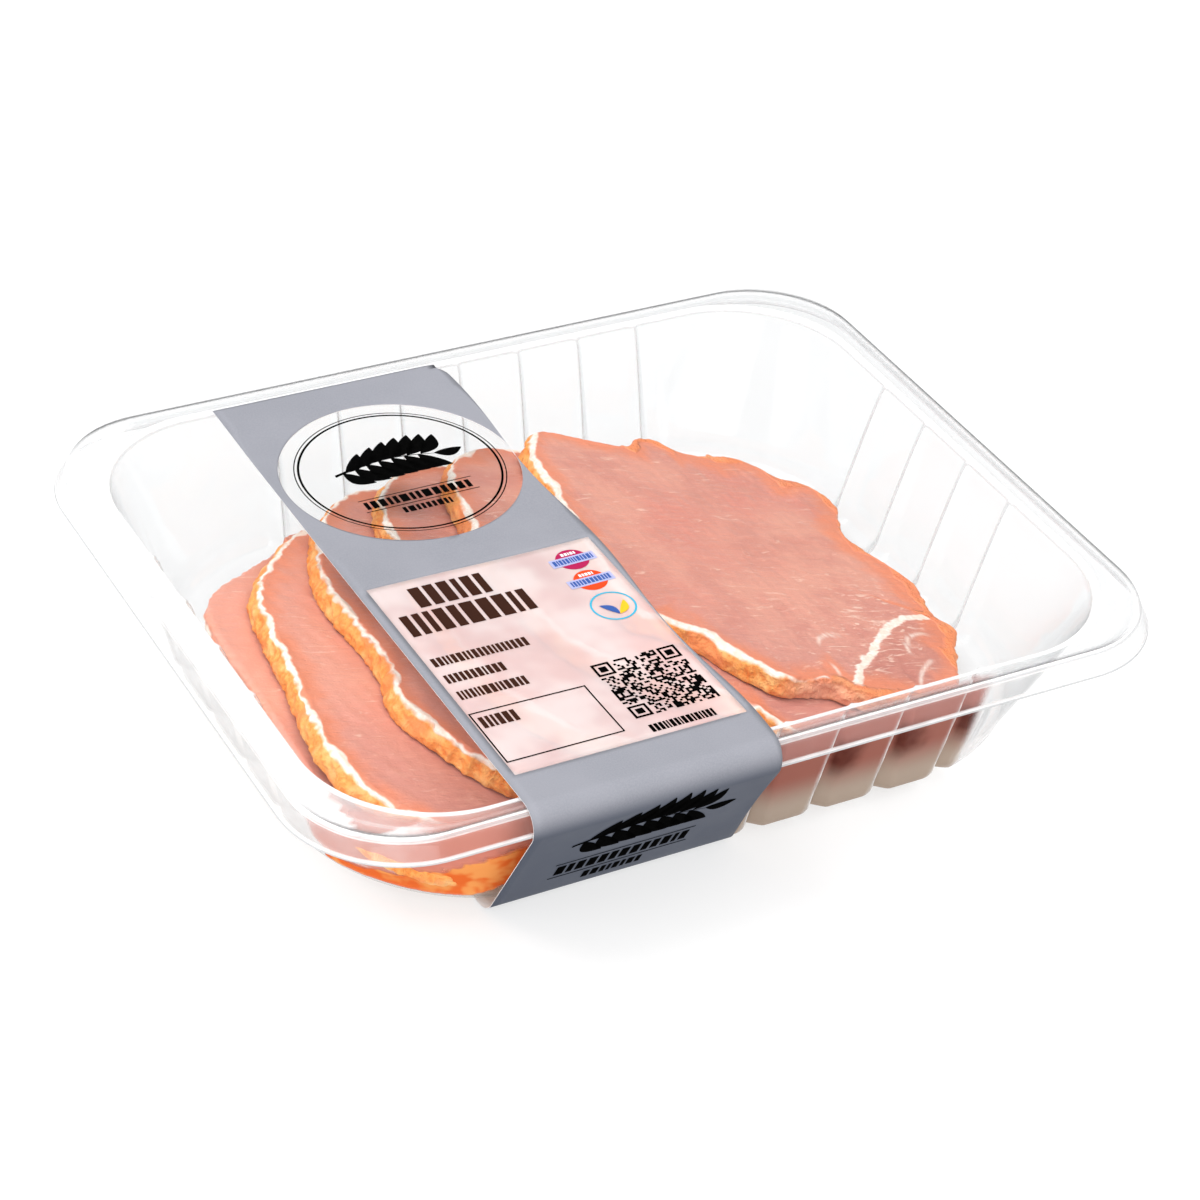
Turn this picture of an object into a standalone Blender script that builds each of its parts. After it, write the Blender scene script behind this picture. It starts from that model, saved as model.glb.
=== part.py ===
"""Clear thermoformed tray of sliced marinated pork loin, sealed with film and banded by a paper label.

X runs along the tray's long side, Y from its front to its back, and Z is up. The origin is at the
bottom centre of the whole pack, which stands on the label's turned-under end. Sizes are in metres.
"""
import math

import bpy
import numpy as np

MM = 0.001

# Tray: the rim's outline, the mouth inside it, and the depth
LIP_LENGTH = 0.2270
LIP_WIDTH = 0.1833
LIP_RADIUS = 0.0285
LIP_DROP = 0.0055
SKIRT_FLARE = 0.0023
RIM_RADIUS = 0.0012
MOUTH_LENGTH = 0.2060
MOUTH_WIDTH = 0.1660
MOUTH_RADIUS = 0.0310
MOUTH_EDGE = 0.0015
TRAY_DEPTH = 0.0395
TRAY_WALL = 0.0005
DRAFT = 0.2125
BASE_RADIUS = 0.0470
BASE_EDGE = 0.0060

# Levels of the tray's walls between the mouth and the base, as shares of the height
WALL_LEVELS = (0.15, 0.6, 1.0)

# Grooves pressed into the tray's walls, V-shaped and deeper towards the base
LONG_GROOVES = 7
LONG_GROOVE_PITCH = 0.0176
LONG_GROOVE_CENTRE = 0.0032
SHORT_GROOVES = 4
SHORT_GROOVE_PITCH = 0.0194
SHORT_GROOVE_CENTRE = 0.0023
GROOVE_HALF_WIDTH = 0.0032
GROOVE_DEPTH = 0.0033
GROOVE_MOUTH_DEPTH = 0.0008

# Where the walls' stretches end and the corners of the tray's outlines begin
CORNER_X = 0.0630
CORNER_Y = 0.0390
CORNER_POINTS = 7

# Film and label
FILM_THICKNESS = 0.00025
FILM_INSET = 0.0030
LABEL_THICKNESS = 0.00025
LABEL_LEFT = -0.0660
LABEL_RIGHT = -0.0030
LABEL_BACK = 0.0825
LABEL_WAVE = 0.0009
LABEL_WAVE_LENGTH = 0.0700
LABEL_CORNER = 0.0060
RIM_BEND = 0.0052
RIM_BEND_Y = -0.0871
UNDER_BASE = 0.0400
GAP = 0.0003

# Slices: each lies on the one before it and slopes down to the right
SLICE_COUNT = 6
SLICE_PITCH = 0.0223
LAST_SLICE_LEFT = -0.0050
SLICE_TOP = -0.0055
SLICE_SLOPE = 0.28
SLICE_THICKNESS = 0.0054
SLICE_EDGE = 0.0009
FRONT_DROOP = 0.0040
FRONT_END = -0.0700
FIRST_DROOP = 0.0045
FIRST_DROOP_RIGHT = 0.0750
FIRST_DROOP_RUN = 0.0350
FIRST_TAPER = 0.03
SLICE_POINTS = 64
TOP_SCALES = (0.35, 0.7)
SIDE_DEPTHS = (0.3, 0.7)

# Heights and the shift that bring the bottom centre of the whole pack to the origin
FLANGE_TOP = LABEL_THICKNESS + GAP + TRAY_WALL + TRAY_DEPTH
LABEL_FRONT = RIM_BEND_Y - RIM_BEND - LABEL_THICKNESS
Y_SHIFT = -(LABEL_FRONT + LIP_WIDTH / 2) / 2

# Outlines of the slices seen from above, as (distance from the slice's left side, Y) in millimetres.
# The left stretches run from the back to the front; the right side is shared, but for the last slice.
LEFT_EDGES = (
    [(65, 57), (48, 45), (33, 33), (25, 23), (21.7, 12), (21.1, -8), (21.1, -34), (22.8, -50), (28.5, -61.5),
     (38.5, -70), (50, -72.8), (66, -72)],
    [(40, 50), (30, 42.5), (14, 22), (9.5, 5), (6.4, -16), (2.7, -38), (4, -53), (11, -65), (21, -71),
     (36, -72.5), (54, -72), (71, -70)],
    [(38, 60), (21, 47), (11.4, 31), (5.6, 12), (6.4, -16), (2.7, -33), (6.4, -44), (16, -60), (34, -70),
     (52, -71.5), (71, -69)],
    [(40, 63), (27, 60.5), (14, 47), (6.5, 24.5), (3, -8), (4, -37), (16, -54), (29, -60), (42, -66.5),
     (55, -71), (71, -70)],
    [(38, 62), (24, 61), (11.7, 49), (5.3, 24), (2.8, 3), (4, -22), (10.4, -35), (23, -45), (36, -50),
     (41.5, -54.5), (46, -62), (56, -69.5), (72, -70.5)],
    [(29, 60), (20.6, 61.1), (13, 50), (9.5, 30), (2, -20), (8.5, -27.5), (16, -33.5), (21, -42), (28.5, -51),
     (36, -52.2), (44, -53), (50, -57.5), (61, -61.5)],
)
RIGHT_SIDE = [(82, -61), (88, -46), (90, -28), (91, -8), (91, 12), (88, 33), (77, 47), (60, 56)]
LAST_RIGHT_SIDE = [
    (71, -61.5), (79, -55.5), (84, -47.5), (88.5, -40), (94, -32), (91.3, -26), (93, -18), (94.6, -12),
    (92.4, -3), (89, 5.5), (87.8, 12), (91, 19.5), (94.8, 27), (94, 34), (90.5, 38.7), (84.5, 41.8), (80.5, 47.8),
    (75, 51.8), (66, 51.8), (60, 53.8), (56, 59.2), (50.6, 59.8), (45, 55.6), (38, 56.8),
]


def straight_edge(along, half_along, half_across, radius):
    """Half-width of a rounded rectangle at a distance along it: flat, then falling on the corner's arc."""
    past = np.maximum(np.abs(along) - (half_along - radius), 0.0)
    return half_across - radius + np.sqrt(np.maximum(radius**2 - past**2, 0.0))


def corner_points(half_x, half_y, radius):
    """Points along the arc of a rounded rectangle's first corner, outside the stretch the walls take."""
    centre_x, centre_y = half_x - radius, half_y - radius
    first = math.asin(max(0.0, CORNER_Y - centre_y) / radius)
    last = math.pi / 2 - math.asin(max(0.0, CORNER_X - centre_x) / radius)
    angle = np.linspace(first, last, CORNER_POINTS)
    return np.column_stack((centre_x + radius * np.cos(angle), centre_y + radius * np.sin(angle)))


def groove_stations(count, pitch, centre):
    """Places along a wall: both edges and the middle of each groove, and how deep each place lies."""
    middles = centre + pitch * (np.arange(count) - (count - 1) / 2)
    places = middles[:, None] + GROOVE_HALF_WIDTH * np.array([-1.0, 0.0, 1.0])
    depths = np.tile([0.0, 1.0, 0.0], (count, 1))
    return places.ravel(), depths.ravel()


def tray_ring(half_x, half_y, radius, groove):
    """One level of the tray, counter-clockwise: four walls with their grooves, and four corners."""
    long_at, long_in = groove_stations(LONG_GROOVES, LONG_GROOVE_PITCH, LONG_GROOVE_CENTRE)
    short_at, short_in = groove_stations(SHORT_GROOVES, SHORT_GROOVE_PITCH, SHORT_GROOVE_CENTRE)
    side = straight_edge(short_at, half_y, half_x, radius) - groove * short_in
    face = straight_edge(long_at, half_x, half_y, radius) - groove * long_in
    corner = corner_points(half_x, half_y, radius)
    return np.vstack((
        np.column_stack((side, short_at)),
        corner,
        np.column_stack((long_at, face))[::-1],
        corner[::-1] * (-1, 1),
        np.column_stack((-side, short_at))[::-1],
        corner * (-1, -1),
        np.column_stack((long_at, -face)),
        corner[::-1] * (1, -1),
    ))


def tray_levels():
    """The tray's section from the lip inwards, as rows of half length, half width, radius, drop, groove."""
    rows = []
    lip = np.array([LIP_LENGTH, LIP_WIDTH]) / 2
    mouth = np.array([MOUTH_LENGTH, MOUTH_WIDTH]) / 2

    def add(outline, inset, radius, drop, groove=0.0):
        rows.append((*(outline - inset), radius, drop, groove))

    add(lip, 0.0, LIP_RADIUS, LIP_DROP)
    for turn in np.linspace(0.0, math.pi / 2, 3):
        inset = SKIRT_FLARE + RIM_RADIUS * (1 - math.cos(turn))
        add(lip, inset, LIP_RADIUS - inset, RIM_RADIUS * (1 - math.sin(turn)))
    for turn in (0.0, math.pi / 2):
        inset = -MOUTH_EDGE * (1 - math.sin(turn))
        add(mouth, inset, MOUTH_RADIUS - inset, MOUTH_EDGE * (1 - math.cos(turn)),
            GROOVE_MOUTH_DEPTH * math.sin(turn))
    wall_end = TRAY_DEPTH - BASE_EDGE
    for share in WALL_LEVELS:
        drop = MOUTH_EDGE + share * (wall_end - MOUTH_EDGE)
        groove = GROOVE_MOUTH_DEPTH + (GROOVE_DEPTH - GROOVE_MOUTH_DEPTH) * math.sqrt(share)
        radius = MOUTH_RADIUS + share * (BASE_RADIUS - MOUTH_RADIUS)
        add(mouth, DRAFT * (drop - MOUTH_EDGE), radius, drop, groove)
    for turn in (math.pi / 4, math.pi / 2):
        inset = BASE_EDGE * (1 - math.cos(turn))
        add(mouth, DRAFT * (wall_end - MOUTH_EDGE) + inset, BASE_RADIUS - inset,
            wall_end + BASE_EDGE * math.sin(turn), GROOVE_DEPTH)
    return rows


def loft(rings, closed):
    """Vertices and four-sided faces between rings of the same number of points."""
    count = len(rings[0])
    points = np.vstack(rings)
    last = count if closed else count - 1
    faces = [
        (r * count + j, r * count + (j + 1) % count, (r + 1) * count + (j + 1) % count, (r + 1) * count + j)
        for r in range(len(rings) - 1)
        for j in range(last)
    ]
    return points, faces


def add_object(name, points, faces, material, thickness=0.0, offset=-1.0):
    """A mesh object in the pack's own frame, given a wall if it is an open surface."""
    mesh = bpy.data.meshes.new(name)
    mesh.from_pydata((points + (0.0, Y_SHIFT, FLANGE_TOP)).tolist(), [], faces)
    mesh.materials.append(material)
    mesh.validate()
    mesh.shade_smooth()
    item = bpy.data.objects.new(name, mesh)
    pack.objects.link(item)
    if thickness:
        wall = item.modifiers.new("Wall", "SOLIDIFY")
        wall.thickness = thickness
        wall.offset = offset
    return item


def make_material(name, colour, roughness, alpha=1.0):
    """A plain finish of one colour."""
    material = bpy.data.materials.new(name)
    material.use_nodes = True
    shader = material.node_tree.nodes["Principled BSDF"]
    shader.inputs["Base Color"].default_value = (*colour, 1.0)
    shader.inputs["Roughness"].default_value = roughness
    shader.inputs["Metallic"].default_value = 0.0
    shader.inputs["Alpha"].default_value = alpha
    return material


def build_tray():
    """The open tray, lofted from the lip over the flange and down the walls to a flat floor."""
    rings = []
    for half_x, half_y, radius, drop, groove in tray_levels():
        flat = tray_ring(half_x, half_y, radius, groove)
        rings.append(np.column_stack((flat, np.full(len(flat), -drop))))
    points, faces = loft(rings, True)
    count = len(rings[0])
    centre = len(points)
    first = centre - count
    points = np.vstack((points, (0.0, 0.0, -TRAY_DEPTH)))
    faces += [(first + j, first + (j + 1) % count, centre) for j in range(count)]
    return add_object("tray", points, faces, clear_plastic, TRAY_WALL)


def build_film():
    """The lidding film, one flat sheet over the flange and the mouth."""
    half_x, half_y = LIP_LENGTH / 2 - FILM_INSET, LIP_WIDTH / 2 - FILM_INSET
    corner = corner_points(half_x, half_y, LIP_RADIUS - FILM_INSET)
    flat = np.vstack((corner, corner[::-1] * (-1, 1), corner * (-1, -1), corner[::-1] * (1, -1)))
    points = np.column_stack((flat, np.full(len(flat), GAP)))
    return add_object("lid_film", points, [tuple(range(len(points)))], clear_film, FILM_THICKNESS, 1.0)


def label_path():
    """The label's inner side in the YZ plane: over the film, round the rim, down and under the base."""
    top = GAP + FILM_THICKNESS + GAP
    rim = np.array([RIM_BEND_Y, top - RIM_BEND])
    base_bend = BASE_EDGE + TRAY_WALL + GAP
    wall_end = TRAY_DEPTH - BASE_EDGE
    base_y = -MOUTH_WIDTH / 2 + DRAFT * (wall_end - MOUTH_EDGE) + BASE_EDGE
    base = np.array([base_y, -wall_end])
    run = base - rim
    lean = math.atan2(run[1], run[0]) - math.asin((base_bend - RIM_BEND) / math.hypot(*run))
    side = lean - math.pi / 2 + 2 * math.pi
    over_rim = np.linspace(math.pi / 2, side, 7)
    under_edge = np.linspace(side, 1.5 * math.pi, 5)
    back = np.array([[y, top] for y in np.linspace(LABEL_BACK, RIM_BEND_Y, 9)[:-1]])
    bend = rim + RIM_BEND * np.column_stack((np.cos(over_rim), np.sin(over_rim)))
    turn = base + base_bend * np.column_stack((np.cos(under_edge), np.sin(under_edge)))
    end = np.array([[base_y + UNDER_BASE, base[1] - base_bend]])
    return np.vstack((back, bend, turn, end))


def build_label():
    """The printed paper band, with a straight left side and a slightly wavy right side."""
    path = label_path()
    steps = np.hypot(*np.diff(path, axis=0).T)
    along = np.concatenate(([0.0], np.cumsum(steps)))
    right = LABEL_RIGHT + LABEL_WAVE * np.sin(2 * math.pi * along / LABEL_WAVE_LENGTH)
    right[0] -= LABEL_CORNER
    left = np.full(len(path), LABEL_LEFT)
    rings = [np.column_stack((x, path)) for x in (left, (left + right) / 2, right)]
    points, faces = loft(rings, False)
    return add_object("label", points, faces, printed_paper, LABEL_THICKNESS, 1.0)


def closed_curve(corners, count):
    """A smooth closed curve through the given points, at even steps along its length."""
    knots = np.array(corners, float) * MM
    steps = np.linspace(0.0, 1.0, 12, endpoint=False)[:, None]
    before, after, later = (np.roll(knots, shift, axis=0) for shift in (1, -1, -2))
    parts = [
        0.5 * (2 * p1 + (p2 - p0) * steps + (2 * p0 - 5 * p1 + 4 * p2 - p3) * steps**2
               + (3 * p1 - p0 - 3 * p2 + p3) * steps**3)
        for p0, p1, p2, p3 in zip(before, knots, after, later)
    ]
    dense = np.vstack(parts + [parts[0][:1]])
    length = np.concatenate(([0.0], np.cumsum(np.hypot(*np.diff(dense, axis=0).T))))
    even = np.linspace(0.0, length[-1], count, endpoint=False)
    return np.column_stack([np.interp(even, length, dense[:, axis]) for axis in (0, 1)])


def slice_top(flat, left, number):
    """Height of a slice's upper face: a slope down to the right that bends down towards the front.
    The first slice, which has nothing under it, bends down further at its front left."""
    x, y = flat[:, 0], flat[:, 1]
    droop = np.full(len(flat), FRONT_DROOP)
    if number == 1:
        droop += FIRST_DROOP * np.clip((FIRST_DROOP_RIGHT - (x - left)) / FIRST_DROOP_RUN, 0.0, 1.0)
    return SLICE_TOP - SLICE_SLOPE * (x - left) - droop * (np.minimum(y, 0.0) / FRONT_END) ** 2


def build_slice(number):
    """One slice: its top face, a rounded rim and the same face again one thickness below. The first
    slice narrows downwards, as the tray does round it."""
    left = LAST_SLICE_LEFT - SLICE_PITCH * (SLICE_COUNT - number)
    right_side = LAST_RIGHT_SIDE if number == SLICE_COUNT else RIGHT_SIDE
    outline = closed_curve(LEFT_EDGES[number - 1] + right_side, SLICE_POINTS) + (left, 0.0)
    middle = outline.mean(axis=0)
    down = -SLICE_THICKNESS * np.array([SLICE_SLOPE, 0.0, 1.0]) / math.hypot(SLICE_SLOPE, 1.0)
    rim_in = 1.0 - SLICE_EDGE / np.hypot(*(outline - middle).T).mean()
    taper = FIRST_TAPER if number == 1 else 0.0
    top = [(scale, 0.0) for scale in (*TOP_SCALES, rim_in)]
    levels = top + [(1.0, depth) for depth in SIDE_DEPTHS] + [(scale, 1.0) for scale, _ in top[::-1]]
    rings = []
    for scale, depth in levels:
        flat = middle + scale * (1.0 - taper * depth) * (outline - middle)
        rings.append(np.column_stack((flat, slice_top(flat, left, number))) + depth * down)
    points, faces = loft([ring[::-1] for ring in rings], True)
    centre = np.append(middle, slice_top(middle[None], left, number))
    count, last = SLICE_POINTS, len(points)
    points = np.vstack((points, centre, centre + down))
    faces += [((j + 1) % count, j, last) for j in range(count)]
    faces += [(last - count + j, last - count + (j + 1) % count, last + 1) for j in range(count)]
    return add_object(f"slice_{number}", points, faces, meat)


for old in list(bpy.data.objects):
    bpy.data.objects.remove(old, do_unlink=True)
pack = bpy.data.collections.new("meat_tray_pack")
bpy.context.scene.collection.children.link(pack)

clear_plastic = make_material("clear_plastic", (0.93, 0.94, 0.94), 0.08, 0.2)
clear_film = make_material("clear_film", (0.95, 0.95, 0.95), 0.12, 0.12)
printed_paper = make_material("printed_paper", (0.35, 0.36, 0.39), 0.55)
meat = make_material("pork_loin", (0.80, 0.36, 0.27), 0.4)

build_tray()
build_film()
build_label()
for slice_number in range(1, SLICE_COUNT + 1):
    build_slice(slice_number)
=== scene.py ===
"""Looks of a clear ribbed tray of marinated pork loin, sealed with film and banded by a printed label.

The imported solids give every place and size. Each is replaced by a finer surface of the same form:
the tray and its film as thin clear sheets, the label as printed stock with a clear window and a
milky panel, and each slice as a grid whose attributes carry its fat, crust and marbling.
"""
import math

import bpy
import numpy as np
from mathutils import Matrix, Vector


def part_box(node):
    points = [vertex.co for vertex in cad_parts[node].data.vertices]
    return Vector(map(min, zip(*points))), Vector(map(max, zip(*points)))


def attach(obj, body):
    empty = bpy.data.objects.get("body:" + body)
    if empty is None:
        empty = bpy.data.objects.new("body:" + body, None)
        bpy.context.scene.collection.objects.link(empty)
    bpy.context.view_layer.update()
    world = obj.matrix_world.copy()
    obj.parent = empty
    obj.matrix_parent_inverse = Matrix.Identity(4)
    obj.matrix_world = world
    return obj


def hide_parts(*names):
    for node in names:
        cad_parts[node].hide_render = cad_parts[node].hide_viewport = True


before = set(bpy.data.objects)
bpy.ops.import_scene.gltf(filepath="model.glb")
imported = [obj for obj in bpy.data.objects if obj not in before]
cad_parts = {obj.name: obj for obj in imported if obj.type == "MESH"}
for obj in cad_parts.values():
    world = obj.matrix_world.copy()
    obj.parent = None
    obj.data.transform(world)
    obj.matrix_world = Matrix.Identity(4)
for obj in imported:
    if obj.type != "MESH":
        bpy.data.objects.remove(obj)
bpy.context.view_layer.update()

MM = 0.001
TURN = 2 * math.pi

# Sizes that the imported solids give
tray_low, tray_high = (np.array(c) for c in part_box("tray"))
film_low, film_high = (np.array(c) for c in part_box("lid_film"))
GAP = 0.3 * MM
Y_SHIFT = (tray_low[1] + tray_high[1]) / 2
FLANGE_TOP = film_low[2] - GAP
LIP = (tray_high - tray_low)[:2] / 2

# Tray, as in the part: the section from the lip to the floor
LIP_RADIUS = 28.5 * MM
LIP_DROP = 5.5 * MM
SKIRT_FLARE = 2.3 * MM
RIM_RADIUS = 1.2 * MM
MOUTH = np.array([103.0, 83.0]) * MM
MOUTH_RADIUS = 31.0 * MM
MOUTH_EDGE = 1.5 * MM
TRAY_DEPTH = 39.5 * MM
TRAY_WALL = 0.45 * MM
DRAFT = 0.2125
BASE_RADIUS = 47.0 * MM
BASE_EDGE = 6.0 * MM
WALL_END = TRAY_DEPTH - BASE_EDGE
CORNER = np.array([63.0, 39.0]) * MM
# Grooves of a long and of a short wall: how many, their pitch and the middle of their row
LONG_GROOVES = (7, 17.6 * MM, 3.2 * MM)
SHORT_GROOVES = (4, 19.4 * MM, 2.3 * MM)
# A groove's depth and half-width in mm, where it starts under the mouth and at the base
GROOVE_DEPTHS = (0.8, 3.3)
GROOVE_WIDTHS = (1.3, 3.2)
FLOOR_SCALES = (0.96, 0.8, 0.5, 0.2)
FLOOR_HAZE = 0.03

# Label, as in the part: its sides, and its path over the film, round the rim and under the base
LABEL_LEFT = -66.0 * MM
LABEL_RIGHT = -3.0 * MM
LABEL_BACK = 82.5 * MM
LABEL_WAVE = 0.9 * MM
LABEL_WAVE_LENGTH = 70.0 * MM
LABEL_CORNER = 6.0 * MM
RIM_BEND = 5.2 * MM
RIM_BEND_Y = -87.1 * MM
UNDER_BASE = 40.0 * MM
RIM_POINTS = 60
PATH_STEP = 0.2 * MM
HALF_COLUMNS = 12
WINDOW_ROWS = 73
WINDOW_COLUMNS = 41
RING_POINTS = 96

# Heights of the sheets and the layers of ink over the label's path
CLEAR_LIFT = 0.05 * MM
INK_LIFTS = [h * MM for h in (0.21, 0.25, 0.29, 0.33)]
INKS = {
    "black": (0.002, 0.002, 0.002),
    "brown": (0.045, 0.018, 0.012),
    "magenta": (0.42, 0.02, 0.09),
    "orange": (0.78, 0.07, 0.02),
    "lilac": (0.42, 0.44, 0.68),
    "blue": (0.05, 0.11, 0.36),
    "yellow": (0.85, 0.50, 0.03),
    "cyan": (0.05, 0.42, 0.62),
    "white": (0.85, 0.80, 0.80),
}

# Slices, as in the part: each lies on the one before it and slopes down to the right
SLICE_COUNT = 6
OUTLINE_POINTS = 900
SLICE_PITCH = 22.3 * MM
LAST_SLICE_LEFT = -5.0 * MM
SLICE_TOP = -5.5 * MM
SLICE_SLOPE = 0.28
SLICE_THICKNESS = 5.4 * MM
FRONT_DROOP = 4.0 * MM
FRONT_END = -70.0 * MM
FIRST_DROOP = 4.5 * MM
FIRST_DROOP_RIGHT = 75.0 * MM
FIRST_DROOP_RUN = 35.0 * MM
FIRST_TAPER = 0.03
LEFT_EDGES = (
    [(65, 57), (48, 45), (33, 33), (25, 23), (21.7, 12), (21.1, -8), (21.1, -34), (22.8, -50), (28.5, -61.5),
     (38.5, -70), (50, -72.8), (66, -72)],
    [(40, 50), (30, 42.5), (14, 22), (9.5, 5), (6.4, -16), (2.7, -38), (4, -53), (11, -65), (21, -71),
     (36, -72.5), (54, -72), (71, -70)],
    [(38, 60), (21, 47), (11.4, 31), (5.6, 12), (6.4, -16), (2.7, -33), (6.4, -44), (16, -60), (34, -70),
     (52, -71.5), (71, -69)],
    [(40, 63), (27, 60.5), (14, 47), (6.5, 24.5), (3, -8), (4, -37), (16, -54), (29, -60), (42, -66.5),
     (55, -71), (71, -70)],
    [(38, 62), (24, 61), (11.7, 49), (5.3, 24), (2.8, 3), (4, -22), (10.4, -35), (23, -45), (36, -50),
     (41.5, -54.5), (46, -62), (56, -69.5), (72, -70.5)],
    [(29, 60), (20.6, 61.1), (13, 50), (9.5, 30), (2, -20), (8.5, -27.5), (16, -33.5), (21, -42), (28.5, -51),
     (36, -52.2), (44, -53), (50, -57.5), (61, -61.5)],
)
RIGHT_SIDE = [(82, -61), (88, -46), (90, -28), (91, -8), (91, 12), (88, 33), (77, 47), (60, 56)]
LAST_RIGHT_SIDE = [
    (71, -61.5), (79, -55.5), (84, -47.5), (88.5, -40), (94, -32), (91.3, -26), (93, -18), (94.6, -12),
    (92.4, -3), (89, 5.5), (87.8, 12), (91, 19.5), (94.8, 27), (94, 34), (90.5, 38.7), (84.5, 41.8),
    (80.5, 47.8), (75, 51.8), (66, 51.8), (60, 53.8), (56, 59.2), (50.6, 59.8), (45, 55.6), (38, 56.8),
]
# What a slice's points carry in the middle of its face, on its underside, and where no seam is near
RIM_MIDDLE = 42.0
RIM_BELOW = -6.0
NO_SEAM = 40.0
NO_FAT = -2.0
# The white seam on the last slice, from its right edge to its front edge, as (from the left side, Y) in mm
SEAM = [(98, -22), (91, -26), (85, -27), (80, -27.5), (75.6, -29.4), (70.2, -33.3), (65.5, -37.1),
        (60.5, -42.2), (53.5, -47.9), (48.4, -54.2), (45, -62)]
# Thin threads of fat on the same slice, as arcs: centre, radius, middle of the arc and how far it reaches
THREADS = [((82, -44), 10.0, (76, -36.5), 8.5), ((88, -66), 23.5, (70, -48), 9.0),
           ((53, -41), 6.6, (50.5, -35), 6.0), ((38, -48), 8.0, (45.6, -48.5), 3.6)]

# The photograph's camera, fitted to the tray's rim: a 1200 pixel square frame and a 36 mm sensor
CAMERA_LENS = 100.53
CAMERA_SENSOR = 36.0
CAMERA_DISTANCE = 0.789
CAMERA_AZIMUTH = math.radians(-31.7)
CAMERA_ELEVATION = math.radians(35.2)
CAMERA_ROLL = math.radians(5.41)
CAMERA_AIM = np.array([-13.7, -25.7, 0.0]) * MM

# The glowing floor lies a little under the pack
FLOOR_REACH = 4.0
FLOOR_LEVEL = -0.4 * MM


def place(points):
    """Moves points from the tray's own frame, flange at height 0, to the pack's frame."""
    return np.asarray(points, float) + (0.0, Y_SHIFT, FLANGE_TOP)


def smooth_step(t):
    """Runs smoothly from 0 to 1 as t does."""
    t = np.clip(t, 0.0, 1.0)
    return t * t * (3.0 - 2.0 * t)


def ripple(x, y, wavelength, seed, count=9):
    """Sum of sine waves in seeded directions, with wavelengths near the given one, about -1 to 1."""
    draw = np.random.default_rng(seed)
    heading, phase = draw.uniform(0, TURN, (2, count))
    length = wavelength * draw.uniform(0.6, 1.6, count)
    total = 0.0
    for h, p, w in zip(heading, phase, length):
        total = total + np.sin(TURN * (x * math.cos(h) + y * math.sin(h)) / w + p)
    return total / math.sqrt(count)


def loop_ripple(share, waves, seed, count=7):
    """Sum of sine waves round a loop, each with a whole number of turns, about -1 to 1."""
    draw = np.random.default_rng(seed)
    turns = np.rint(waves * draw.uniform(0.5, 1.7, count))
    phase = draw.uniform(0, TURN, count)
    return np.sin(TURN * share[..., None] * turns + phase).sum(-1) / math.sqrt(count)


def direction(azimuth, elevation):
    """Unit vector towards a place seen at these angles: azimuth 0 is the front, positive to the right."""
    a, e = azimuth, elevation
    return np.array([math.sin(a) * math.cos(e), -math.cos(a) * math.cos(e), math.sin(e)])


def grid_faces(rows, columns, closed=False, first=0):
    """Four-sided faces between the rows of a grid, whose columns may close into a loop."""
    r, c = np.meshgrid(np.arange(rows - 1), np.arange(columns if closed else columns - 1), indexing="ij")
    after = (c + 1) % columns
    a, b = r * columns + c, r * columns + after
    return np.stack((a, b, b + columns, a + columns), -1).reshape(-1, 4) + first


def fan_faces(first, count, middle):
    """Triangles between a closed ring of points and one in its middle."""
    j = np.arange(count)
    return np.column_stack((first + j, first + (j + 1) % count, np.full(count, middle)))


def new_object(name, data):
    """An object in the scene."""
    made = bpy.data.objects.new(name, data)
    bpy.context.scene.collection.objects.link(made)
    return made


def add_piece(name, points, faces, materials, attributes=None):
    """A smooth mesh piece riding on the pack's one body, with number attributes on its points."""
    mesh = bpy.data.meshes.new(name)
    mesh.from_pydata(place(points).tolist(), [], [list(map(int, f)) for f in faces])
    for material in materials:
        mesh.materials.append(material)
    for key, values in (attributes or {}).items():
        layer = mesh.attributes.new(key, "FLOAT", "POINT")
        layer.data.foreach_set("value", np.asarray(values, np.float32))
    mesh.update()
    mesh.shade_smooth()
    piece = new_object(name, mesh)
    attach(piece, "root")
    return piece


def give_wall(piece, thickness, offset):
    """Turns an open sheet into a thin closed wall."""
    wall = piece.modifiers.new("Wall", "SOLIDIFY")
    wall.thickness = thickness
    wall.offset = offset


# Materials

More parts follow.
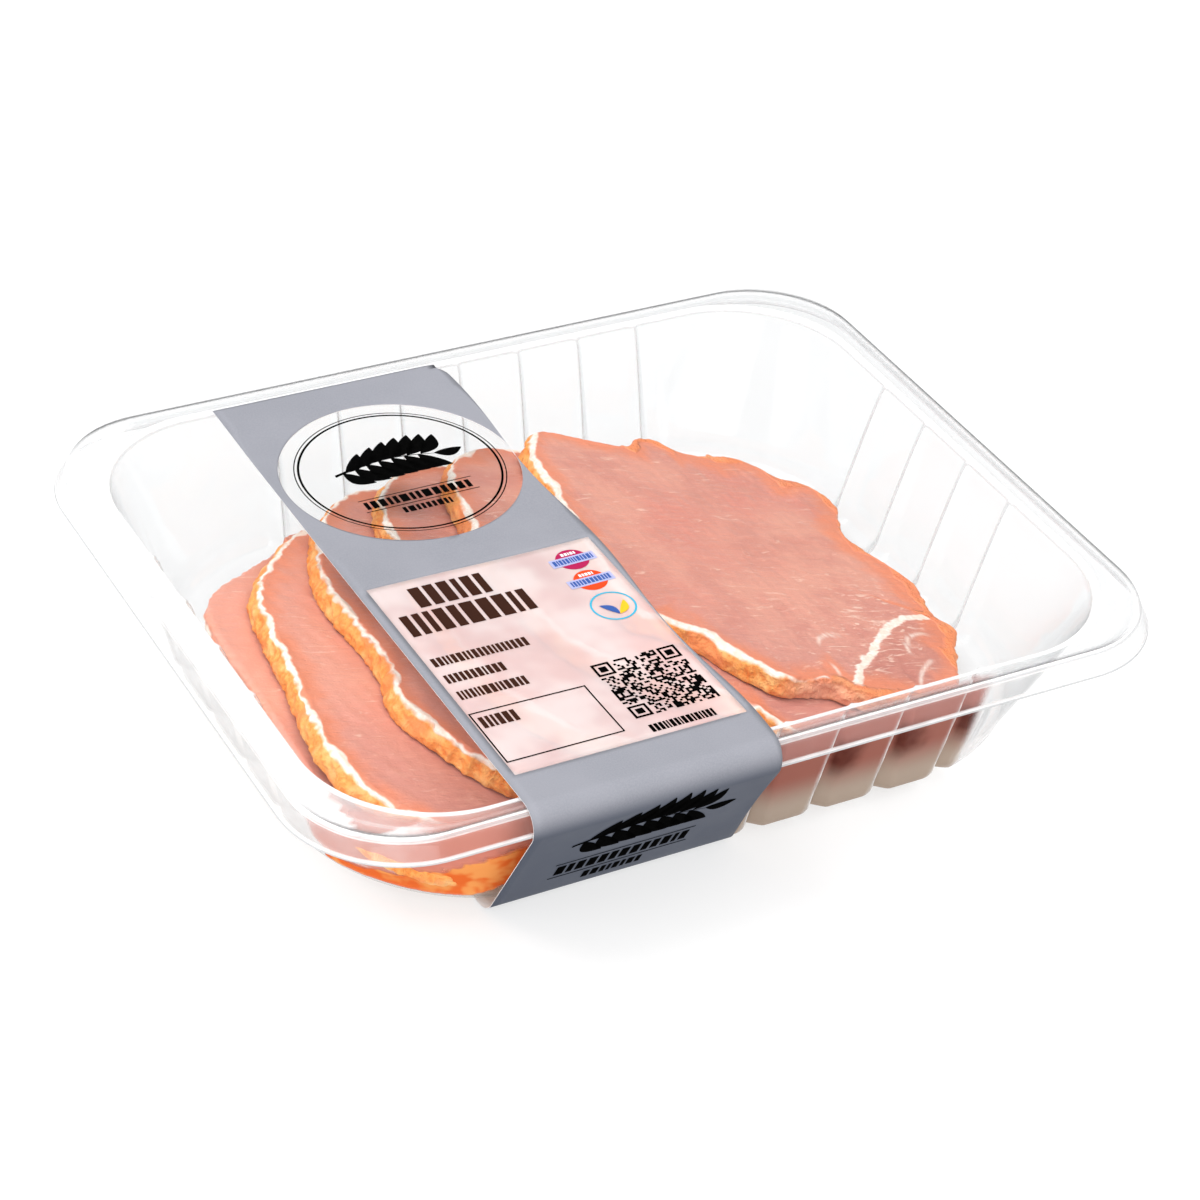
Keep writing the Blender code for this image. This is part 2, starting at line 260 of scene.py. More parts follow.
class Shading:
    """A node tree, with short ways to add nodes to it."""

    def __init__(self, tree):
        self.tree = tree

    def feed(self, made, **inputs):
        """Sets or links a node's inputs, called by name with _ for a space, or by number as in _0."""
        for key, value in inputs.items():
            socket = made.inputs[int(key[1:]) if key[1:].isdigit() else key.replace("_", " ")]
            if isinstance(value, bpy.types.NodeSocket):
                self.tree.links.new(value, socket)
            else:
                socket.default_value = (*value, 1.0) if socket.type == "RGBA" else value

    def add(self, kind, settings=None, **inputs):
        """Adds a node with its settings and inputs, and gives its outputs."""
        made = self.tree.nodes.new("ShaderNode" + kind)
        for key, value in (settings or {}).items():
            setattr(made, key, value)
        self.feed(made, **inputs)
        return made.outputs

    def math(self, operation, a, b=0.0, c=0.0, clamp=False):
        """One number worked out from up to three."""
        return self.add("Math", {"operation": operation, "use_clamp": clamp}, _0=a, _1=b, _2=c)[0]

    def remap(self, value, low, high, to_low=0.0, to_high=1.0):
        """Maps a number from one range to another, smoothly, and holds it there."""
        kind = {"interpolation_type": "SMOOTHSTEP", "clamp": True}
        return self.add("MapRange", kind, _0=value, _1=low, _2=high, _3=to_low, _4=to_high)[0]

    def mix(self, factor, a, b):
        """Mixes two colours by a factor."""
        return self.add("Mix", {"data_type": "RGBA", "clamp_factor": True}, _0=factor, _6=a, _7=b)[2]

    def layers(self, colour, *rows):
        """Lays colours over one another. A row is the value that decides, the two ends of its range,
        how strongly the colour covers at each of them, and the colour."""
        for value, low, high, at_low, at_high, upper in rows:
            colour = self.mix(self.remap(value, low, high, at_low, at_high), colour, upper)
        return colour

    def surface(self, kind, colour, **inputs):
        """A simple shader of one kind and colour."""
        return self.add("Bsdf" + kind, Color=colour, **inputs)[0]

    def blend(self, share, below, above):
        """Mixes two shaders by a share."""
        return self.add("MixShader", _0=share, _1=below, _2=above)[0]

    def position(self, scale=(1.0, 1.0, 1.0), turn=0.0):
        """Object coordinates, turned about Z and stretched."""
        source = self.add("TexCoord")["Object"]
        return self.add("Mapping", Vector=source, Rotation=(0.0, 0.0, turn), Scale=scale)[0]

    def axes(self, vector):
        """A vector's X, Y and Z."""
        return self.add("SeparateXYZ", Vector=vector)

    def noise(self, vector, scale, detail=3.0, roughness=0.55, distortion=0.0):
        """Fractal noise, about 0.3 to 0.7."""
        return self.add("TexNoise", Vector=vector, Scale=scale, Detail=detail, Roughness=roughness,
                        Distortion=distortion)[0]

    def attribute(self, name):
        """A number carried by the piece's points."""
        return self.add("Attribute", {"attribute_name": name})["Fac"]

    def bump(self, height, strength, distance):
        """A bumped normal from a height."""
        return self.add("Bump", Height=height, Strength=strength, Distance=distance)[0]


def new_material(name):
    """A material, the means to add nodes to it, its Principled shader and its output."""
    material = bpy.data.materials.new(name)
    material.use_nodes = True
    nodes = material.node_tree.nodes
    return material, Shading(material.node_tree), nodes["Principled BSDF"], nodes["Material Output"]


def clear_sheet(name, edge_tint, shine, wetted=False):
    """Thin clear plastic: lets light through with a tint that deepens towards grazing angles, mirrors more
    there too, and carries two attributes: a white veil, partly haze in the plastic and partly painted
    highlight, and "edge", a light grey line that is painted shade. A wetted sheet is streaked and has meat
    lying against it as well."""
    material, net, shader, output = new_material(name)
    net.tree.nodes.remove(shader)
    facing = net.add("LayerWeight", Blend=0.5)["Facing"]
    tint = net.mix(net.math("POWER", facing, 4.0), (0.988, 0.990, 0.991), edge_tint)
    mirror = net.math("MULTIPLY_ADD", net.math("POWER", facing, 5.0), 0.8, shine)
    gloss = net.surface("Glossy", (1.0, 1.0, 1.0), Roughness=0.08)
    clear = net.blend(mirror, net.surface("Transparent", tint), gloss)
    milk_and_highlight = (0.98, 0.98, 0.98)
    cloud = net.blend(0.5, net.surface("Diffuse", milk_and_highlight), net.surface("Translucent", milk_and_highlight))
    haze_and_highlight = net.attribute("haze_and_highlight")
    if wetted:
        grains = net.noise(net.position(), 150.0, 2.0, 0.6)
        haze_and_highlight = net.math("MULTIPLY", haze_and_highlight, net.remap(grains, 0.30, 0.66, 0.80, 1.12), clamp=True)
    # white veil: haze in the plastic and painted highlight, mixed in by the attribute
    veil = net.blend(haze_and_highlight, clear, cloud)
    if wetted:
        veil = meat_smear(net, grains, veil)
    # painted shade: grey lines where the attribute "edge" is set, at bends and in grooves
    lined = net.blend(net.attribute("edge"), veil, net.surface("Diffuse", (0.55, 0.56, 0.57)))
    net.feed(output, Surface=lined)
    return material


def meat_smear(net, grains, clear):
    """Meat pressed to the wall, laid over it by three attributes: "juice", wet lean that pales towards the
    base, "shade", how much painted shade darkens it, and "spice", a ragged band of orange crust."""
    spot = net.axes(net.position())
    rightness = net.remap(spot["X"], -20 * MM, -5 * MM)
    # painted shade: the lean darkens to near black as the shade attribute and the grain rise
    dark = net.remap(net.math("MULTIPLY_ADD", grains, 0.7, net.attribute("shade")), 0.42, 1.30)
    upper = net.mix(rightness, (0.68, 0.240, 0.175), (0.43, 0.165, 0.135))
    lean = net.layers(
        net.mix(dark, (0.32, 0.118, 0.090), (0.085, 0.018, 0.012)),
        (spot["Z"], FLANGE_TOP - 18 * MM, FLANGE_TOP - 11 * MM, 0.0, 1.0, upper),
        (spot["Z"], FLANGE_TOP - 33 * MM, FLANGE_TOP - 21 * MM, 1.0, 0.0, (0.40, 0.310, 0.245)),
    )
    lean = net.surface("Diffuse", net.mix(rightness, upper, lean))
    wet = net.blend(net.attribute("juice"), clear, lean)
    crust = net.mix(net.remap(grains, 0.42, 0.60), (0.80, 0.150, 0.028), (0.88, 0.340, 0.095))
    ragged = net.remap(net.math("MULTIPLY_ADD", grains, 0.8, net.attribute("spice")), 0.70, 1.02, 0.0, 0.92)
    return net.blend(ragged, wet, net.surface("Diffuse", crust))


def printed_stock(name):
    """Blue-grey print on satin label stock, with a faint cloudiness and a fine tooth, and painted shade that
    darkens it towards the front fold."""
    material, net, shader, _ = new_material(name)
    where = net.position()
    cloud = net.noise(where, 38.0)
    grain = net.noise(where, 2600.0, 2.0)
    colour = net.layers(
        (0.262, 0.268, 0.302),
        (cloud, 0.35, 0.65, 0.0, 1.0, (0.288, 0.292, 0.328)),
        (grain, 0.3, 0.7, 0.0, 0.6, (0.312, 0.316, 0.352)),
        # painted shade: the stock turns dark blue-grey below the flange, on the front fold
        (net.axes(where)["Z"], FLANGE_TOP - 7 * MM, FLANGE_TOP - 0.5 * MM, 0.95, 0.0, (0.045, 0.057, 0.088)),
    )
    net.feed(shader, Base_Color=colour, Roughness=net.remap(cloud, 0.3, 0.7, 0.42, 0.54),
             Specular_IOR_Level=0.2, Normal=net.bump(grain, 0.05, 0.0002))
    return material


def plain_paper(name):
    """The white back of the label stock."""
    material, net, shader, _ = new_material(name)
    net.feed(shader, Base_Color=(0.86, 0.86, 0.87), Roughness=0.6)
    return material


def milky_panel(name):
    """The label's lower panel: a pale pink veil of ink that the meat shows through."""
    material, net, shader, output = new_material(name)
    cloud = net.noise(net.position(), 55.0, 2.0)
    colour = net.mix(net.remap(cloud, 0.35, 0.65), (0.95, 0.77, 0.76), (0.97, 0.88, 0.87))
    net.feed(shader, Base_Color=colour, Roughness=0.4)
    through = net.surface("Transparent", (1.0, 0.98, 0.98))
    veil = net.remap(cloud, 0.3, 0.7, 0.38, 0.48)
    net.feed(output, Surface=net.blend(veil, through, shader.outputs[0]))
    return material


def ink(name, colour):
    """Printed ink with a slightly uneven lay."""
    material, net, shader, _ = new_material(name)
    lay = net.remap(net.noise(net.position(), 900.0, 2.0), 0.4, 0.75)
    paler = tuple(0.9 * c + 0.001 for c in colour)
    net.feed(shader, Base_Color=net.mix(lay, colour, paler), Roughness=0.4, Specular_IOR_Level=0.0)
    return material


def pork(name):
    """Raw marinated loin: salmon lean with fibres, marbling and an orange stain near the rim, a white line of
    fat on the rim, and a grainy paprika crust on the side. Reads the slice's own attributes: "rim",
    millimetres in from the rim and negative down the side; "coat", how far the crust climbs over the rim;
    "fat", the width of the white line; "seam", millimetres from a seam of fat; "threaded", thin threads of
    fat; "brown", how much painted shade darkens the crust; and "rosy", how bare of spice, where the bare
    flesh is painted lighter down the slice's shaded side."""
    material, net, shader, _ = new_material(name)
    where = net.position()
    along = net.position((30.0, 150.0, 60.0), math.radians(62.0))
    across = net.position((38.0, 170.0, 60.0), math.radians(-50.0))
    spot = net.axes(where)
    rim, coat, side = (net.attribute(key) for key in ("rim", "coat", "seam"))
    seam = net.math("ABSOLUTE", side)

    fine = net.noise(where, 620.0, 3.0, 0.65)
    lumps = net.noise(where, 170.0, 2.0, 0.6)
    blotches = net.noise(where, 70.0, 2.0, 0.6)
    patches = net.noise(where, 24.0, 1.0)
    fibres = net.noise(along, 5.0, 3.0, 0.65, 0.5)
    streaks = net.noise(along, 2.6, 4.0, 0.62, 1.8)
    threads = net.noise(across, 2.4, 4.0, 0.62, 2.4)

    lean = net.layers(
        (0.665, 0.240, 0.183),
        (patches, 0.36, 0.64, 0.0, 1.0, (0.700, 0.312, 0.232)),
        (blotches, 0.40, 0.66, 0.0, 1.0, (0.625, 0.250, 0.190)),
        (spot["X"], -95 * MM, -20 * MM, 0.45, 0.0, (0.86, 0.40, 0.29)),
        (spot["Y"], -55 * MM, -15 * MM, 0.42, 0.0, (0.47, 0.175, 0.160)),
    )
    small = net.math("MULTIPLY", net.remap(side, 0.3, 2.5, 0.0, 0.35), net.remap(side, 36.0, 39.0, 1.0, 0.0))
    lean = net.layers(
        net.mix(small, lean, (0.44, 0.130, 0.090)),
        (fibres, 0.45, 0.75, 0.0, 0.45, (0.760, 0.360, 0.270)),
        (fine, 0.55, 0.80, 0.0, 0.4, (0.82, 0.46, 0.35)),
        (streaks, 0.61, 0.71, 0.0, 0.62, (0.88, 0.60, 0.48)),
    )
    near_seam = net.math("MULTIPLY", net.remap(threads, 0.57, 0.66), net.remap(seam, 6.0, 24.0, 0.70, 0.0))
    lean = net.mix(near_seam, lean, (0.90, 0.66, 0.54))

    wander = net.math("MULTIPLY_ADD", lumps, 6.0, -3.0)
    drift = net.math("MULTIPLY_ADD", blotches, 10.0, -5.0)
    ragged = net.math("ADD", net.math("ADD", rim, wander), drift)
    beyond = net.math("SUBTRACT", ragged, coat)
    colour = net.layers(lean, (beyond, 1.0, 8.5, 0.86, 0.0, (0.76, 0.235, 0.120)))

    def past(value, sway, limit):
        """How far a value lies past a limit, swayed by the lumps."""
        return net.math("SUBTRACT", net.math("MULTIPLY_ADD", wander, sway, value), limit)

    crumb = net.remap(fine, 0.36, 0.66)
    crust = net.layers(
        net.mix(crumb, (0.92, 0.285, 0.050), (0.97, 0.430, 0.105)),
        (lumps, 0.46, 0.66, 0.0, 1.0, (0.98, 0.530, 0.185)),
        (blotches, 0.50, 0.66, 0.0, 1.0, (0.92, 0.290, 0.085)),
        (fine, 0.68, 0.76, 0.0, 1.0, (0.50, 0.080, 0.020)),
    )
    bare = net.math("MULTIPLY", net.attribute("rosy"), net.remap(blotches, 0.35, 0.65, 1.0, 0.55))
    # painted light: the bare flesh is pink and lighter down the slice's shaded side, orange-red at the rim
    flesh_with_painted_light = net.mix(net.remap(rim, -2.0, 0.5), (0.96, 0.430, 0.300), (0.76, 0.215, 0.115))
    # painted shade: where "brown" is high the crust turns near black-brown
    crust = net.mix(net.attribute("brown"), net.mix(bare, crust, flesh_with_painted_light), (0.26, 0.070, 0.045))
    crusted = net.remap(past(rim, 0.9, coat), -0.7, 0.6, 1.0, 0.0)

    white = net.mix(crumb, (0.90, 0.72, 0.60), (0.95, 0.88, 0.80))
    fatty = net.remap(past(rim, 0.6, net.attribute("fat")), -0.45, 0.35, 1.0, 0.0)
    thick = net.remap(threads, 0.35, 0.65, 0.25, 0.95)
    thread = net.remap(past(seam, 0.3, thick), 0.1, 0.75, 0.95, 0.0)
    threaded = net.math("MULTIPLY", net.attribute("threaded"), 0.75)
    for share, above in ((threaded, white), (thread, white), (fatty, white), (crusted, crust)):
        colour = net.mix(share, colour, above)

    wet = net.remap(patches, 0.35, 0.65, 0.28, 0.40)
    relief = net.math("MULTIPLY_ADD", fine, 0.5, fibres)
    crumbs = net.math("MULTIPLY", net.math("MULTIPLY", fine, crusted), 4.0)
    net.feed(shader, Base_Color=colour, Roughness=net.math("MULTIPLY_ADD", crusted, 0.25, wet),
             Specular_IOR_Level=0.4, Normal=net.bump(net.math("ADD", relief, crumbs), 0.6, 0.0005))
    return material


# Tray and film

def straight_edge(along, half_along, half_across, radius):
    """Half-width of a rounded rectangle at a distance along it: flat, then falling on the corner's arc."""
    past = np.maximum(np.abs(along) - (half_along - radius), 0.0)
    return half_across - radius + np.sqrt(np.maximum(radius**2 - past**2, 0.0))


def corner_points(half, radius, count):
    """Points along the arc of a rounded rectangle's first corner, outside the stretch the walls take."""
    centre = half - radius
    first = math.asin(max(0.0, CORNER[1] - centre[1]) / radius)
    last = math.pi / 2 - math.asin(max(0.0, CORNER[0] - centre[0]) / radius)
    angle = np.linspace(first, last, count)
    return centre + radius * np.column_stack((np.cos(angle), np.sin(angle)))


def groove_stations(grooves, reach):
    """Places along a wall, close together across each groove, and each place's distance to the nearest."""
    count, pitch, centre = grooves
    middles = centre + pitch * (np.arange(count) - (count - 1) / 2)
    across = np.array([-7.0, -4.8, -3.8, -3.2, -2.6, -2.0, -1.4, -0.9, -0.5, -0.2])
    across = np.concatenate((across, [0.0], -across[::-1])) * MM
    places = np.unique(np.concatenate(((middles[:, None] + across).ravel(), [-reach, reach])).round(6))
    nearest = np.abs(places[:, None] - middles).min(axis=1)
    return places, nearest


def tray_section():
    """Levels from the lip to the floor: half sizes, corner radius, drop, groove depth and half-width, white
    veil and grey line. The white veil is painted highlight, with some haze, on the lip, rim, land and mouth
    bends, and haze in the plastic towards the base; the grey line is painted shade."""
    rows = []

    def add(outline, inset, radius, drop, haze_and_highlight, edge=0.0, groove=0.0, half_width=1.0):
        rows.append((*(outline - inset), radius, drop, groove * MM, half_width * MM, haze_and_highlight, edge))

    # the lip: painted highlight along its bend, painted shade lines at its cut edge
    lip = ((0.0, 0.2, 0.75), (0.25, 0.3, 0.5), (0.45, 0.85, 0.0), (0.8, 0.5, 0.0), (1.0, 0.03, 0.0))
    for lift, haze_and_highlight, edge in lip:
        inset = SKIRT_FLARE * lift * MM / (LIP_DROP - RIM_RADIUS)
        add(LIP, inset, LIP_RADIUS - inset, LIP_DROP - lift * MM, haze_and_highlight, edge)
    for share in (0.5, 0.8):
        inset = SKIRT_FLARE * share
        add(LIP, inset, LIP_RADIUS - inset, LIP_DROP + (RIM_RADIUS - LIP_DROP) * share, 0.03)
    # the rim's bend: bands of painted highlight and one painted shade line
    rim = ((0.05, 0.0), (0.75, 0.0), (0.1, 0.1), (0.05, 0.65),
           (0.1, 0.1), (0.8, 0.0), (0.95, 0.0), (0.8, 0.0))
    for (haze_and_highlight, edge), turn in zip(rim, np.linspace(0.0, math.pi / 2, len(rim))):
        inset = SKIRT_FLARE + RIM_RADIUS * (1 - math.cos(turn))
        add(LIP, inset, LIP_RADIUS - inset, RIM_RADIUS * (1 - math.sin(turn)), haze_and_highlight, edge)
    land = LIP - MOUTH - SKIRT_FLARE - RIM_RADIUS - MOUTH_EDGE
    # the land: a little haze, then painted highlight at the mouth's edge
    for share, sink, haze_and_highlight in ((0.06, 0.10, 0.3), (0.12, 0.20, 0.06), (0.3, 0.14, 0.05), (0.42, 0.10, 0.22),
                              (0.5, 0.12, 0.05), (0.8, 0.12, 0.06), (0.93, 0.06, 0.10), (0.97, 0.0, 0.8)):
        inset = SKIRT_FLARE + RIM_RADIUS + land * share
        radius = LIP_RADIUS - SKIRT_FLARE - RIM_RADIUS
        radius += (MOUTH_RADIUS + MOUTH_EDGE - radius) * share
        add(LIP, inset, radius, sink * MM, haze_and_highlight)
    shallow, narrow = GROOVE_DEPTHS[0], GROOVE_WIDTHS[0]
    deep, wide = GROOVE_DEPTHS[1], GROOVE_WIDTHS[1]
    # the mouth's bend: painted highlight fading down the wall, and a painted shade line
    for turn, haze_and_highlight, edge in ((0.0, 0.95, 0.0), (0.3, 0.95, 0.0), (0.6, 0.85, 0.0), (0.9, 0.45, 0.0),
                             (1.2, 0.05, 0.3), (math.pi / 2, 0.02, 0.0)):
        inset = -MOUTH_EDGE * (1 - math.sin(turn))
        add(MOUTH, inset, MOUTH_RADIUS - inset, MOUTH_EDGE * (1 - math.cos(turn)), haze_and_highlight, edge,
            shallow * math.sin(turn), narrow)
    for share in (0.04, 0.1, 0.18, 0.26, 0.34, 0.42, 0.49, 0.56, 0.63, 0.70, 0.77, 0.84, 0.92, 1.0):
        drop = MOUTH_EDGE + share * (WALL_END - MOUTH_EDGE)
        radius = MOUTH_RADIUS + share * (BASE_RADIUS - MOUTH_RADIUS)
        haze_and_highlight = 0.01 + 0.26 * smooth_step((share - 0.70) / 0.35)
        add(MOUTH, DRAFT * (drop - MOUTH_EDGE), radius, drop, haze_and_highlight, 0.0,
            shallow + (deep - shallow) * math.sqrt(share), narrow + (wide - narrow) * share)
    inner = DRAFT * (WALL_END - MOUTH_EDGE)
    for turn in np.linspace(0.0, math.pi / 2, 9)[1:]:
        inset = BASE_EDGE * (1 - math.cos(turn))
        add(MOUTH, inner + inset, BASE_RADIUS - inset, WALL_END + BASE_EDGE * math.sin(turn),
            0.27 - 0.24 * math.sin(turn), 0.0, deep, wide + 0.6 * math.sin(turn))
    return rows


def tray_ring(half_x, half_y, radius, groove, half_width):
    """One level of the tray, counter-clockwise, and each point's distance to the nearest groove. A
    groove is a notch: depth x (1 - distance / half-width)."""
    long_at, long_off = groove_stations(LONG_GROOVES, CORNER[0] - 1 * MM)
    short_at, short_off = groove_stations(SHORT_GROOVES, CORNER[1] - 1 * MM)
    half = np.array([half_x, half_y])
    side = straight_edge(short_at, half_y, half_x, radius)
    side -= groove * np.clip(1 - short_off / half_width, 0, 1)
    face = straight_edge(long_at, half_x, half_y, radius)
    face -= groove * np.clip(1 - long_off / half_width, 0, 1)
    corner = corner_points(half, radius, 26)
    far = np.full(len(corner), 1.0)  # no groove in the corners
    right, back = np.column_stack((side, short_at)), np.column_stack((long_at, face))
    ring = np.vstack((
        right, corner, back[::-1], corner[::-1] * (-1, 1),
        right[::-1] * (-1, 1), corner * (-1, -1), back * (1, -1), corner[::-1] * (1, -1),
    ))
    off = np.concatenate((short_off, far, long_off[::-1], far, short_off[::-1], far, long_off, far))
    return ring, off


def smear(flat, drop):
    """How far lean and crust wet one level of the wall, and how much painted shade darkens the lean: lean
    right of the label, in painted shade darkest just past each groove and high on the wall, and above the
    crust at the front left, where the crust's band sinks from the label's edge round the corner."""
    x, y, drop = flat[:, 0] / MM, flat[:, 1] / MM, drop / MM
    right = smooth_step((x + 10) / 6) * smooth_step((62 - x) / 4) * (y < -60)
    left = smooth_step((x + 101) / 8) * smooth_step((-40 - x) / 5) * (y < -45)
    top = 18 + 15 * smooth_step((-60 - x) / 32)
    bottom = 37 - 6 * smooth_step((x + 72) / 18)
    wet = smooth_step((drop - 3) / 3) * (0.9 * right * smooth_step((41 - drop) / 3)
                                         + 0.8 * left * smooth_step((top + 2 - drop) / 3))
    crusted = left * smooth_step((drop - top) / 2.5) * smooth_step((bottom + 1 - drop) / 3.5)
    # Painted shade of the meat behind the wall, deepest just past each groove and near the top, on the right
    # only.
    phase = (x - LONG_GROOVES[2] / MM) % (LONG_GROOVES[1] / MM)
    shade = smooth_step(phase / 1.5) * smooth_step((13 - phase) / 11) * smooth_step((33 - drop) / 13)
    return wet, crusted, 0.8 * (shade * (x > 12))


def build_tray(material):
    """The tray lofted between its levels; its floor is a plate whose rings shrink to the middle. The veil,
    haze with painted highlight, is thickest on the left side, where the plastic is milky and painted bright.
    Each groove has a grey line of painted shade, or, where meat wets the wall, a painted highlight along its
    left edge."""
    rings, values = [], {key: [] for key in ("haze_and_highlight", "edge", "juice", "spice", "shade")}
    for half_x, half_y, radius, drop, groove, half_width, veil, line in tray_section():
        flat, off = tray_ring(half_x, half_y, radius, groove, half_width)
        x, y = flat.T
        rings.append(np.column_stack((flat, np.full(len(flat), -drop))))
        leftness = smooth_step((-x - 84 * MM) / (16 * MM))
        on_land = (np.abs(flat) > MOUTH).any(axis=1) & (drop < 0.5 * MM)
        # milky plastic of the seal on the left flange, with painted highlight over it
        milk_and_highlight = leftness * (0.62 * on_land + 0.10 * smooth_step((12 * MM - drop) / (9 * MM)))
        cloudy = smooth_step((-y - 60 * MM) / (12 * MM)) * smooth_step((x + 30 * MM) / (30 * MM))
        if drop > LIP_DROP:
            veil = veil * (0.12 + 0.88 * cloudy)
        haze_and_highlight = np.clip(veil + milk_and_highlight * (1 - veil), 0, 1)
        wet, crusted, shade = smear(flat, drop)
        on_wall = groove > 0
        # painted shade: a grey line in each groove's crease, where meat does not wet the wall
        crease = np.clip(1 - off / (0.5 * MM), 0, 1) * on_wall
        before = (x - LONG_GROOVES[2]) % LONG_GROOVES[1] > LONG_GROOVES[1] / 2
        # painted highlight: a bright line along each groove's left edge where meat wets the wall
        ridge = np.clip(1.1 - np.abs(off - half_width) / (0.7 * MM), 0, 1) * before * on_wall
        level = {
            "haze_and_highlight": np.maximum(haze_and_highlight, ridge * (wet > 0)),
            "edge": np.maximum(line, 0.42 * crease * (wet == 0)),
            "juice": wet * (1 - ridge) * on_wall,
            "spice": crusted * on_wall,
            "shade": shade,
        }
        for key, numbers in level.items():
            values[key].append(numbers)
    count = len(rings[0])
    floor = rings[-1]
    rings += [floor * (scale, scale, 1.0) for scale in FLOOR_SCALES]
    points = np.vstack(rings + [[0.0, 0.0, -TRAY_DEPTH]])
    for key, rows in values.items():
        on_floor = np.full(len(FLOOR_SCALES) * count + 1, FLOOR_HAZE if key == "haze_and_highlight" else 0.0)
        values[key] = np.concatenate(rows + [on_floor])
    middle = len(points) - 1
    faces = [*grid_faces(len(rings), count, True), *fan_faces(middle - count, count, middle)]
    piece = add_piece("tray_shell", points, faces, [material], values)
    piece.visible_shadow = False
    give_wall(piece, TRAY_WALL, -1.0)
    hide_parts("tray")


def film_height(x, y):
    """Height of the film over the flange: flat where it is sealed, and slack by a fraction of a
    millimetre inside."""
    inside = smooth_step((MOUTH[0] - np.abs(x)) / (30 * MM)) * smooth_step((MOUTH[1] - np.abs(y)) / (30 * MM))
    return GAP - inside * (0.5 * MM + 0.18 * MM * ripple(x, y, 70 * MM, 4))


def build_film(material):
    """The lidding film: a rounded rectangle's ring of points drawn in towards the middle, row by row."""
    inset = (film_high - film_low)[:2] / 2
    corner = corner_points(inset, LIP_RADIUS - (LIP[0] - inset[0]), 16)
    ring = np.vstack((corner, corner[::-1] * (-1, 1), corner * (-1, -1), corner[::-1] * (1, -1)))
    dense = []
    for a, b in zip(ring, np.roll(ring, -1, axis=0)):
        steps = max(1, int(np.hypot(*(b - a)) / (4 * MM)))
        dense.append(a + (b - a) * np.arange(steps)[:, None] / steps)
    ring = np.vstack(dense)
    scales = np.linspace(1.0, 0.02, 40)
    rows = [np.column_stack((ring * s, film_height(*(ring * s).T))) for s in scales]
    count = len(ring)
    points = np.vstack(rows + [[0.0, 0.0, float(film_height(np.array(0.0), np.array(0.0)))]])
    middle = len(points) - 1
    faces = [*grid_faces(len(rows), count, True), *fan_faces(middle - count, count, middle)]
    bare = np.zeros(len(points))
    piece = add_piece("clear_lid", points, faces, [material], {"haze_and_highlight": bare, "edge": bare})
    piece.visible_shadow = False
    give_wall(piece, 0.1 * MM, 1.0)
    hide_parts("lid_film")


# Label

def label_profile():
    """The label's inner side as (Y, Z) points and the distance along them from its back end."""
    top = (film_high[2] - film_low[2]) + 2 * GAP
    rim = np.array([RIM_BEND_Y, top - RIM_BEND])
    base_bend = BASE_EDGE + 0.5 * MM + GAP
    base = np.array([-MOUTH[1] + DRAFT * (WALL_END - MOUTH_EDGE) + BASE_EDGE, -WALL_END])
    run = base - rim
    lean = math.atan2(run[1], run[0]) - math.asin((base_bend - RIM_BEND) / math.hypot(*run))
    side = lean - math.pi / 2 + TURN
    over_rim = np.linspace(math.pi / 2, side, RIM_POINTS)
    under_edge = np.linspace(side, 1.5 * math.pi, 30)
    bend = rim + RIM_BEND * np.column_stack((np.cos(over_rim), np.sin(over_rim)))
    turn = base + base_bend * np.column_stack((np.cos(under_edge), np.sin(under_edge)))
    path = np.vstack(([[LABEL_BACK, top]], bend, turn, [[base[0] + UNDER_BASE, base[1] - base_bend]]))
    along = np.concatenate(([0.0], np.cumsum(np.hypot(*np.diff(path, axis=0).T))))
    return path, along


PROFILE, PROFILE_LENGTH = label_profile()
LABEL_LENGTH = PROFILE_LENGTH[-1]
RIM_START = PROFILE_LENGTH[1]
FRONT_START = PROFILE_LENGTH[RIM_POINTS]
FRONT_STOP = PROFILE_LENGTH[RIM_POINTS + 1]


def path_at(s):
    """Y and Z of the label's path at a distance along it."""
    return np.array([np.interp(s, PROFILE_LENGTH, PROFILE[:, axis]) for axis in (0, 1)])


def on_label(x, s, lift=0.0):
    """Wraps flat print coordinates, X across and s along from the label's back end, round its path."""
    x, s = np.broadcast_arrays(np.asarray(x, float), np.asarray(s, float))
    y, z = path_at(s)
    dy, dz = path_at(s + PATH_STEP) - path_at(s - PATH_STEP)
    size = np.maximum(np.hypot(dy, dz), 1e-12)
    on_top = smooth_step((RIM_START - 4 * MM - s) / (8 * MM))
    sag = (film_height(x, y) - GAP) * on_top
    return np.stack((x, y + lift * dz / size, z - lift * dy / size + sag), -1)


def label_right(s):
    """The label's wavy right side, whose back corner is rounded."""
    round_off = LABEL_CORNER * (1 - np.sqrt(np.clip(1 - (1 - np.clip(s / LABEL_CORNER, 0, 1)) ** 2, 0, 1)))
    return LABEL_RIGHT + LABEL_WAVE * np.sin(TURN * s / LABEL_WAVE_LENGTH) - round_off


def patch(left, right, start, stop, columns, rows):
    """A grid of print coordinates between two sides and two distances along the label."""
    s = np.linspace(start, stop, rows)[:, None]
    t = np.linspace(0.0, 1.0, columns)[None, :]
    return left + (right - left) * t + 0.0 * s, s + 0.0 * t


WINDOW_CENTRE = (-33.6 * MM, LABEL_BACK - 41.0 * MM)
WINDOW_RADIUS = 30.2 * MM
PANEL_LEFT, PANEL_RIGHT = -63.3 * MM, -4.2 * MM
PANEL_START, PANEL_STOP = LABEL_BACK + 2.0 * MM, LABEL_BACK + 77.8 * MM


def window_rows(s):
    """Half-width of the round window at a distance along the label."""
    return np.sqrt(np.maximum(WINDOW_RADIUS**2 - (s - WINDOW_CENTRE[1]) ** 2, 0.0))


